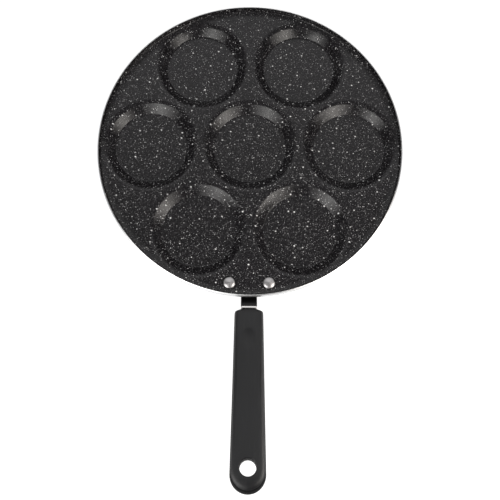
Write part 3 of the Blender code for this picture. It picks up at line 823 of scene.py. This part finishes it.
def dip(u):
    return -SAG * np.sin(math.pi * np.clip(u / GRIP_L, 0, 1)) ** 2


def thumb(x, u):
    """Depth of the thumb dish."""
    q = np.clip((np.asarray(x) / 6.2) ** 2 + ((np.asarray(u) - THUMB_AT) / 8.9) ** 2, 0, 1)
    return 1.05 * (1 - q) ** 1.35


def grip_height(x, u, top=True):
    """Height of the grip's upper or lower face over a plan point."""
    x, u = np.abs(np.asarray(x, float)), np.asarray(u, float)
    low = np.full(x.shape, float(WIDEST))
    high = np.full(x.shape, len(SECTION) - 1.0 if top else 0.0)
    for _ in range(40):
        mid = (low + high) / 2
        _, side, front, tip = np.moveaxis(section(mid), -1, 0)
        scale = np.maximum((NOSE_W - side) / NOSE_W, 1e-6)
        u0 = (u - front) * GRIP_L / (GRIP_L - front - tip)
        inside = (x / scale < half_width(u0)) & (u0 > 0) & (u0 < GRIP_L)
        low = np.where(inside, mid, low)
        high = np.where(inside, high, mid)
    return section((low + high) / 2)[..., 0] + dip(u) - (thumb(x, u) if top else 0.0)


def make_grip(materials):
    half = outline()
    full = np.concatenate([half, (half * [-1, 1])[1:-1][::-1]])

    def ring(t):
        height, side, front, tip = section(t)
        u = front + (GRIP_L - front - tip) * full[:, 1] / GRIP_L
        x = full[:, 0] * (NOSE_W - side) / NOSE_W
        return np.stack([x, u, height + dip(u)], 1)

    shell = Shell()
    rows = []
    for a, b, count in (
        (2, 3, 4),
        (3, 4, 4),
        (4, 5, 3),
        (5, 6, 3),
        (6, 7, 4),
        (7, 8, 4),
        (8, 9, 4),
    ):
        rows += [a + (b - a) * k / count for k in range(count)]
    rows.append(9.0)
    stack = [ring(t) for t in rows]
    numbers = [shell.add(s) for s in stack]
    for t, a, b in zip(rows, numbers, numbers[1:]):
        shell.strip(a, b, 1 if t < 7.2 else 0)  # dull below, where its weak reflection is painted shade, polished above

    def face(top, edge_no):
        edge = stack[edge_no][:, :2]
        border = numbers[edge_no]
        around = 56
        holes = [(0.0, HOLE_AT, HOLE_R + 0.75, around)]
        if not top:
            holes.append((0.0, SCREW_AT, 4.55, 40))
        parts, hole_rows = [], []
        total = 0
        for cx, cu, r, n in holes:
            for k, grow in enumerate((0.0, 0.35, 0.9, 1.7, 2.8)):
                c = circle(cx, cu, r + grow, n)
                if grow > 2 and cx == 0.0 and cu == HOLE_AT:
                    c = c[np.hypot(c[:, 0], np.maximum(c[:, 1] - NOSE_AT, 0)) < 9.6]
                parts.append(c)
                if k == 0:
                    hole_rows.append((total, n))
                total += len(c)
        step = 1.15
        grid = []
        for j in range(int(GRIP_L / step) + 1):
            for i in range(-12, 13):
                grid.append(((i + 0.5 * (j % 2)) * step, j * step))
        grid = np.array(grid)
        # inside the border by a little, and clear of the rings round the holes
        height, side, front, tip = section(rows[edge_no])
        scale = (NOSE_W - side) / NOSE_W
        u0 = (grid[:, 1] - front) * GRIP_L / (GRIP_L - front - tip)
        ok = (np.abs(grid[:, 0]) < scale * half_width(u0) - 0.7) & (u0 > 1.0) & (u0 < GRIP_L - 1.0)
        for cx, cu, r, n in holes:
            ok &= np.hypot(grid[:, 0] - cx, grid[:, 1] - cu) > r + 3.3
        parts.append(grid[ok])
        plan = np.concatenate(parts)
        mine = shell.add(np.column_stack([plan, grip_height(plan[:, 0], plan[:, 1], top)]))

        def keep(x, u):
            good = np.ones(len(x), bool)
            for cx, cu, r, n in holes:
                good &= np.hypot(x - cx, u - cu) > r * math.cos(math.pi / n) - 1e-3
            return good

        ids = np.concatenate([mine, border])
        for tri in triangulate(np.concatenate([plan, edge]), keep):
            shell.face(ids[tri], 0 if top else 1)
        return [mine[a : a + n] for a, n in hole_rows], plan

    top_holes, _ = face(True, len(rows) - 1)
    under_holes, _ = face(False, 0)

    # the hang hole's wall, with soft mouths
    def level(ring_numbers):
        return np.concatenate(shell.points)[ring_numbers]

    upper, lower = level(top_holes[0]), level(under_holes[0])
    angle = np.arange(len(upper)) * 2 * math.pi / len(upper)
    chain = [top_holes[0]]
    soft = 0.75
    for a in np.radians([20, 40, 60, 78, 90]):
        r = HOLE_R + soft * (1 - math.sin(a))
        z = upper[:, 2] - soft * (1 - math.cos(a))
        chain.append(shell.add(np.column_stack([r * np.cos(angle), HOLE_AT + r * np.sin(angle), z])))
    middle = (upper[:, 2] + lower[:, 2]) / 2
    chain.append(shell.add(np.column_stack([HOLE_R * np.cos(angle), HOLE_AT + HOLE_R * np.sin(angle), middle])))
    for a in np.radians([90, 78, 60, 40, 20]):
        r = HOLE_R + soft * (1 - math.sin(a))
        z = lower[:, 2] + soft * (1 - math.cos(a))
        chain.append(shell.add(np.column_stack([r * np.cos(angle), HOLE_AT + r * np.sin(angle), z])))
    chain.append(under_holes[0])
    # below its upper mouth the hole's wall takes the dull copy, whose weak reflection is painted shade
    for k, (a, b) in enumerate(zip(chain, chain[1:])):
        shell.strip(a, b, 0 if k < 2 else 1)

    # the screw's counterbore
    mouth = level(under_holes[1])
    angle = np.arange(len(mouth)) * 2 * math.pi / len(mouth)
    chain = [under_holes[1]]
    for r, z in ((4.36, mouth[:, 2] + 0.08), (4.3, mouth[:, 2] + 0.25), (4.3, -3.75), (4.2, -3.6), (2.3, -3.6), (2.3, -3.1)):
        z = np.broadcast_to(z, len(mouth))
        chain.append(shell.add(np.column_stack([r * np.cos(angle), SCREW_AT + r * np.sin(angle), z])))
    for a, b in zip(chain, chain[1:]):
        shell.strip(a, b, 1)
    shell.face(chain[-1], 1)

    me = shell.mesh("grip_moulding", materials, along_handle)
    outward(me)
    grip = new_object("grip_moulding", me)
    socket = Shell()
    ends = [socket.add(rounded(5.3, 2.7, 0.6, 4, lambda x, h, u=u: (x, u, h))) for u in (-4.0, 35.2)]
    socket.strip(ends[0], ends[1])
    socket.face(ends[0])
    socket.face(ends[1])
    cutter_mesh = socket.mesh("socket", [], along_handle)
    outward(cutter_mesh)
    cut(grip, new_object("socket", cutter_mesh))
    bore = Shell()
    ends = [bore.add(np.column_stack([circle(0, SCREW_AT, 2.3, 40), np.full(40, z)])) for z in (-3.35, -1.0)]
    bore.strip(ends[0], ends[1])
    bore.face(ends[0])
    bore.face(ends[1])
    cutter_mesh = bore.mesh("bore", [], along_handle)
    outward(cutter_mesh)
    cut(grip, new_object("bore", cutter_mesh))
    for p in grip.data.polygons:
        p.use_smooth = True
    grip.data.set_sharp_from_angle(angle=math.radians(38))
    return grip


def rounded(half_w, half_h, radius, steps, place):
    """One loop of a rounded rectangle."""
    loop = []
    for cx, cy, start in (
        (half_w - radius, half_h - radius, 0.0),
        (-(half_w - radius), half_h - radius, 90.0),
        (-(half_w - radius), -(half_h - radius), 180.0),
        (half_w - radius, -(half_h - radius), 270.0),
    ):
        for s in range(steps):
            a = math.radians(start + 90.0 * s / (steps - 1))
            loop.append(place(cx + radius * math.cos(a), cy + radius * math.sin(a)))
    return np.array(loop)


# ------------------------------------------------------------------ bracket, collar, rivets, screw, washer
def smooth_rows(rows, count):
    """Centripetal curve through rows of numbers, its first two columns counting as length."""
    rows = np.array(rows, float)
    padded = np.concatenate([2 * rows[:1] - rows[1:2], rows, 2 * rows[-1:] - rows[-2:-1]])
    out = []
    for i in range(len(rows) - 1):
        p0, p1, p2, p3 = padded[i : i + 4]
        g = [max(np.linalg.norm((b - a)[:2]), 1e-6) ** 0.5 for a, b in ((p0, p1), (p1, p2), (p2, p3))]
        m1 = (p2 - p1) + g[1] * ((p1 - p0) / g[0] - (p2 - p0) / (g[0] + g[1]))
        m2 = (p2 - p1) + g[1] * ((p3 - p2) / g[2] - (p3 - p1) / (g[1] + g[2]))
        for k in range(count):
            f = k / count
            out.append(
                (2 * f**3 - 3 * f**2 + 1) * p1 + (f**3 - 2 * f**2 + f) * m1 + (3 * f**2 - 2 * f**3) * p2 + (f**3 - f**2) * m2
            )
    out.append(rows[-1])
    return out


def make_bracket(materials):
    y0, y1, z0, z1 = -131.0, -115.2, 5.9, 8.1
    cy, hy = (y0 + y1) / 2, (y1 - y0) / 2
    shell = Shell()
    rings = []
    for z, inset in ((z0, 0.7), (z0 + 0.07, 0.42), (z0 + 0.22, 0.18), (z0 + 0.5, 0.0), (z1 - 0.4, 0.0), (z1 - 0.12, 0.12), (z1, 0.4)):
        rings.append(
            shell.add(rounded(24.0 - inset, hy - inset, 5.5 - inset, 12, lambda x, h, z=z: (x, cy + h, z)))
        )
    for a, b in zip(rings, rings[1:]):
        shell.strip(a, b)
    shell.face(rings[0])
    shell.face(rings[-1])
    me = shell.mesh("bracket", materials)
    outward(me)
    bracket = new_object("bracket", me)

    shell = Shell()
    rings = []
    end = along_handle([(0, -2.55, 3.75), (0, -2.55, -3.75)])
    # section middle (y, z), half height, corner radius, and how far the section leans with the handle
    rows = []
    for y, top, bottom, r in (
        (-118.0, 7.7, 6.3, 0.5),
        (-126.0, 7.8, 5.5, 0.7),
        (-132.6, 7.95, 4.6, 0.9),
        (-135.0, 9.0, 4.5, 1.0),
        (-137.2, 10.8, 4.8, 1.05),
        (-139.6, 12.7, 5.5, 1.1),
    ):
        rows.append((y, (top + bottom) / 2, (top - bottom) / 2, r, 0.0))
    rows.append((end[:, 1].mean(), end[:, 2].mean(), 3.75, 1.1, 1.0))
    for row in smooth_rows(rows, 7):
        y, z, hh, r, lean = row
        a = RISE * min(max(lean, 0.0), 1.0)
        rings.append(
            shell.add(
                rounded(NECK_W, hh, min(r, hh * 0.7), 6, lambda x, h: (x, y + h * math.sin(a), z + h * math.cos(a)))
            )
        )
    for u, hw, hh, r in ((-2.55, 5.0, 2.4, 0.5), (33.0, 5.0, 2.4, 0.5), (34.0, 4.2, 1.9, 0.4)):
        rings.append(shell.add(along_handle(rounded(hw, hh, r, 6, lambda x, h, u=u: (x, u, h)))))
    for a, b in zip(rings, rings[1:]):
        shell.strip(a, b)
    shell.face(rings[0])
    shell.face(rings[-1])
    me = shell.mesh("neck", materials)
    outward(me)
    cut(bracket, new_object("neck", me), "UNION")
    for x, y in RIVETS:
        drill = turned("drill", [(0, 3), (2.9, 3), (2.9, 10), (0, 10)], 32, (x, y, 0), materials)
        cut(bracket, drill)
    tapped = turned("tapped", [(0, -6), (2.3, -6), (2.3, 1.3), (0, 1.3)], 28, (0, 0, 0), materials, (0.0, SCREW_AT))
    cut(bracket, tapped)
    for p in bracket.data.polygons:
        p.use_smooth = True
    bracket.data.set_sharp_from_angle(angle=math.radians(32))
    return bracket


def turned(name, line, segments, at, materials, handle=None, wobble=None):
    """A closed body turned from (radius, height) points, upright at a place, or along the handle's normal."""
    shell = Shell()
    rings = []
    for r, z in line:
        if r < 1e-6:
            p = np.array([[0.0, 0.0, z]])
        else:
            p = np.column_stack([circle(0, 0, r, segments), np.full(segments, z)])
        if handle is not None:
            p = p + [handle[0], handle[1], 0.0]
            p = along_handle(p)
        else:
            p = p + np.array(at, float)
        rings.append(shell.add(p))
    for a, b in zip(rings, rings[1:]):
        if len(a) == 1 and len(b) == 1:
            continue
        if len(a) == 1:
            for i in range(segments):
                shell.face((a[0], b[i], b[(i + 1) % segments]))
        elif len(b) == 1:
            for i in range(segments):
                shell.face((a[i], a[(i + 1) % segments], b[0]))
        else:
            shell.strip(a, b)
    if len(rings[0]) > 1 and len(rings[-1]) > 1:
        shell.strip(rings[-1], rings[0])
    me = shell.mesh(name, materials)
    outward(me)
    return new_object(name, me)


def finish_turned(ob, angle=35.0):
    ob.data.set_sharp_from_angle(angle=math.radians(angle))
    return ob


def make_rivet(name, x, y, materials):
    head = 11.04
    line = (
        [(0, 3.9), (2.4, 3.92), (3.3, 4.1), (3.85, 4.5), (4.1, 5.0), (4.2, 5.35), (4.2, 5.6), (2.6, 5.6), (2.6, head)]
        + [tuple(p) for p in filleted(
            [(2.6, head), (5.03, head), (5.1, 11.35), (4.78, 12.3), (3.0, 13.06), (0.55, 13.72), (0.0, 13.74)],
            (0.06, 0.25, 0.7, 2.6, 0.9),
            10.0,
        )[1:]]
    )
    return finish_turned(turned(name, line, 64, (x, y, 0), materials), 40)


def make_collar(materials):
    shell = Shell()
    rings = []
    iw, ih = 5.3, 2.7
    for hw, hh, r, u in (
        (iw, ih, 0.6, -2.85),
        (iw + 0.15, ih + 0.15, 0.7, -2.25),
        (NECK_W - 0.4, 3.35, 0.75, -2.25),
        (NECK_W - 0.18, 3.57, 0.9, -2.18),
        (NECK_W - 0.04, 3.71, 1.05, -2.0),
        (NECK_W, 3.75, 1.1, -1.75),
        (NECK_W, 3.75, 1.1, -0.8),
        (NECK_W - 0.04, 3.71, 1.05, -0.55),
        (NECK_W - 0.18, 3.57, 0.9, -0.37),
        (NECK_W - 0.4, 3.35, 0.75, -0.3),
        (iw + 0.15, ih + 0.15, 0.7, -0.3),
        (iw, ih, 0.6, -0.45),
    ):
        rings.append(shell.add(rounded(hw, hh, r, 8, lambda x, h, u=u: (x, u, h))))
    for a, b in zip(rings, rings[1:] + rings[:1]):
        shell.strip(a, b)
    me = shell.mesh("collar_sleeve", materials, along_handle)
    outward(me)
    me.set_sharp_from_angle(angle=math.radians(50))
    return new_object("collar_sleeve", me)


def make_screw(materials):
    top = -3.6 - 0.3 - 0.9 - 0.3
    line = filleted(
        [(0, top - 2.2), (2.5, top - 2.2), (3.35, top - 1.75), (3.6, top - 0.9), (3.6, top), (2.0, top), (2.0, 0.5), (1.5, 1.0), (0, 1.0)],
        (0.8, 0.6, 0.5, 0.12, 0.1, 0.1, 0.1),
        14.0,
    )
    line[0][0] = line[-1][0] = 0.0
    screw = turned("screw", [tuple(p) for p in line], 48, (0, 0, 0), materials, (0.0, SCREW_AT))
    for hx, hy in ((2.1, 0.42), (0.42, 2.1)):
        cross = Shell()
        ends = []
        for z, k in ((top - 4.0, 1.06), (top - 1.1, 0.72)):
            ends.append(
                cross.add(
                    rounded(hx * k if hx > 1 else hx, hy * k if hy > 1 else hy, 0.12, 3, lambda x, h, z=z: (x, SCREW_AT + h, z))
                )
            )
        cross.strip(ends[0], ends[1])
        cross.face(ends[0])
        cross.face(ends[1])
        me = cross.mesh("cross", [], along_handle)
        outward(me)
        cut(screw, new_object("cross", me))
    for p in screw.data.polygons:
        p.use_smooth = True
    return finish_turned(screw, 30)


def make_washer(materials):
    top = -3.9
    line = [(2.3, top - 0.9), (3.4, top - 0.9), (3.56, top - 0.84), (3.6, top - 0.7), (3.6, top - 0.2), (3.56, top - 0.06), (3.4, top), (2.3, top)]
    return finish_turned(turned("washer", line, 48, (0, 0, 0), materials, (0.0, SCREW_AT)), 40)


# ------------------------------------------------------------------ build
coat, lip, paint, base = coat_top(), bare_lip(), coat_under(), turned_base()
rivet_mat, neck_mat, collar_mat = rivet_metal(), bracket_paint(), collar_metal()
grip_mat, screw_mat = grip_phenolic(), screw_steel()

pieces = [
    (make_pan([coat, lip, paint, base]), "pan_body", "coated_casting"),
    (make_bracket([neck_mat]), "handle_bracket", "bracket_paint"),
    (make_rivet("rivet_head_left", *RIVETS[0], [rivet_mat]), "rivet_left", "rivet_metal"),
    (make_rivet("rivet_head_right", *RIVETS[1], [rivet_mat]), "rivet_right", "rivet_metal"),
    (make_collar([collar_mat]), "heat_collar", "collar_metal"),
    (make_grip([grip_mat, grip_flank_painted_shade()]), "handle_grip", "grip_black"),
    (make_screw([screw_mat]), "grip_screw", "screw_steel"),
    (make_washer([screw_mat]), "lock_washer", "screw_steel"),
]
for piece, node, slot in pieces:
    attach(piece, "root")
    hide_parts(node)

# the hidden frame nodes carry the same finishes
for node, material in (
    ("pan_body", coat),
    ("handle_bracket", neck_mat),
    ("rivet_left", rivet_mat),
    ("rivet_right", rivet_mat),
    ("heat_collar", collar_mat),
    ("handle_grip", grip_mat),
    ("grip_screw", screw_mat),
    ("lock_washer", screw_mat),
):
    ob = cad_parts[node]
    for s in ob.material_slots:
        s.material = material

# ------------------------------------------------------------------ floor, light and camera
def make_floor():
    """A lit white table, plain and wide."""
    me = bpy.data.meshes.new("table_top")
    bm = bmesh.new()
    n, reach = 24, 5.0
    grid = [
        [bm.verts.new((reach * (2 * i / n - 1), reach * (2 * j / n - 1), -0.00002)) for i in range(n + 1)] for j in range(n + 1)
    ]
    for j in range(n):
        for i in range(n):
            bm.faces.new((grid[j][i], grid[j][i + 1], grid[j + 1][i + 1], grid[j + 1][i]))
    bm.to_mesh(me)
    bm.free()
    g = Graph("table_white")
    soft = g.noise(3.0, 2.0, 0.4)
    g.set(Base_Color=g.mix(soft, (0.27, 0.27, 0.27, 1), (0.31, 0.31, 0.31, 1)), Roughness=0.75)
    g.bsdf.inputs["Specular IOR Level"].default_value = 0.2
    g.bsdf.inputs["Emission Color"].default_value = (1, 1, 1, 1)
    g.bsdf.inputs["Emission Strength"].default_value = 0.93
    me.materials.append(g.mat)
    return new_object("table_top", me)


floor = make_floor()


def softbox(name, azimuth, elevation, distance, width, height, radiance, colour, aim=(0.0, 0.0, 0.02)):
    """Four panels of different width on one stand: the light fades out sideways."""
    for k, part in enumerate((1.95, 1.3, 0.75, 0.3)):
        panel(f"{name}_{k + 1}", azimuth, elevation, distance - 0.002 * k, width * part, height, radiance / 4, colour, aim)


def panel(name, azimuth, elevation, distance, width, height, radiance, colour, aim):
    light = bpy.data.lights.new(name, "AREA")
    light.shape = "RECTANGLE"
    light.size, light.size_y = width, height
    light.energy = radiance * math.pi * width * height
    light.color = colour
    ob = bpy.data.objects.new(name, light)
    bpy.context.scene.collection.objects.link(ob)
    a, e = math.radians(azimuth), math.radians(elevation)
    ob.location = Vector(aim) + distance * Vector((math.cos(a) * math.cos(e), math.sin(a) * math.cos(e), math.sin(e)))
    ob.rotation_mode = "QUATERNION"
    ob.rotation_quaternion = (ob.location - Vector(aim)).to_track_quat("Z", "Y")
    ob.visible_camera = False
    return ob


softbox("warm_box", -38, 28.3, 0.40, 0.214, 0.233, 5.4, (1.0, 0.955, 0.90))
softbox("cool_box", -128, 28.5, 0.50, 0.275, 0.287, 4.45, (1.0, 0.99, 0.97))

# the room: dim at the horizon, a broad pale ceiling light beyond the pan; the camera itself sees white
world = bpy.data.worlds.new("studio")
bpy.context.scene.world = world
world.use_nodes = True
nodes, links = world.node_tree.nodes, world.node_tree.links
nodes.clear()
world_out = nodes.new("ShaderNodeOutputWorld")
direction = nodes.new("ShaderNodeTexCoord")
parts = nodes.new("ShaderNodeSeparateXYZ")
links.new(direction.outputs["Generated"], parts.inputs[0])
lean = nodes.new("ShaderNodeMath")  # angle from overhead towards +Y
lean.operation = "ARCTAN2"
links.new(parts.outputs["Y"], lean.inputs[0])
links.new(parts.outputs["Z"], lean.inputs[1])
spread = nodes.new("ShaderNodeMapRange")
for socket, value in zip(spread.inputs[1:5], (-math.pi / 2, math.pi / 2, 0.0, 1.0)):
    socket.default_value = value
links.new(lean.outputs[0], spread.inputs[0])
sky = nodes.new("ShaderNodeValToRGB")
sky.color_ramp.interpolation = "LINEAR"
SKY = (
    (-90, 0.07), (-62, 0.17), (-48, 0.25), (-22, 0.26), (-6, 0.29), (6, 0.27), (14, 0.33), (21, 0.62),
    (28, 0.91), (36, 0.97), (50, 0.97), (60, 0.70), (70, 0.34), (80, 0.12), (90, 0.07),
)
ramp = sky.color_ramp.elements
while len(ramp) > 1:
    ramp.remove(ramp[-1])
ramp[0].position = 0.0
for k, (degrees, value) in enumerate(SKY):
    stop = ramp[0] if k == 0 else ramp.new((degrees + 90) / 180)
    stop.color = (value, value, value, 1.0)
links.new(spread.outputs[0], sky.inputs[0])
aside = nodes.new("ShaderNodeMath")
aside.operation = "ABSOLUTE"
links.new(parts.outputs["X"], aside.inputs[0])
window = nodes.new("ShaderNodeMapRange")
window.interpolation_type = "SMOOTHSTEP"
for socket, value in zip(window.inputs[1:5], (0.30, 0.98, 1.0, 0.22)):
    socket.default_value = value
links.new(aside.outputs[0], window.inputs[0])
fill = nodes.new("ShaderNodeBackground")
links.new(sky.outputs["Color"], fill.inputs["Color"])
links.new(window.outputs[0], fill.inputs["Strength"])
backdrop = nodes.new("ShaderNodeBackground")
backdrop.inputs["Color"].default_value = (1.0, 1.0, 1.0, 1)
backdrop.inputs["Strength"].default_value = 1.0
path = nodes.new("ShaderNodeLightPath")
pick = nodes.new("ShaderNodeMixShader")
links.new(path.outputs["Is Camera Ray"], pick.inputs[0])
links.new(fill.outputs[0], pick.inputs[1])
links.new(backdrop.outputs[0], pick.inputs[2])
links.new(pick.outputs[0], world_out.inputs["Surface"])

bpy.context.scene.view_settings.view_transform = "Standard"
bpy.context.scene.view_settings.look = "None"

# 43.2 mm lens on a 36 mm sensor, 78.65 degrees above the table, turned 0.36 degrees
elevation, roll = math.radians(78.65), math.radians(0.36)
back = Vector((0.0, -math.cos(elevation), math.sin(elevation)))
up = Vector((0.0, math.sin(elevation), math.cos(elevation)))
right = Vector((1.0, 0.0, 0.0))
cam_x = right * math.cos(roll) + up * math.sin(roll)
cam_y = -right * math.sin(roll) + up * math.cos(roll)
camera_data = bpy.data.cameras.new("camera")
camera_data.sensor_width = 36.0
camera_data.lens = 43.2
camera_data.clip_start, camera_data.clip_end = 0.02, 50.0
camera = bpy.data.objects.new("camera", camera_data)
bpy.context.scene.collection.objects.link(camera)
place = Vector((0.0006, -0.0952, 0.017)) + back * 0.5095
camera.matrix_world = Matrix(
    (
        (cam_x.x, cam_y.x, back.x, place.x),
        (cam_x.y, cam_y.y, back.y, place.y),
        (cam_x.z, cam_y.z, back.z, place.z),
        (0, 0, 0, 1),
    )
)
bpy.context.scene.camera = camera
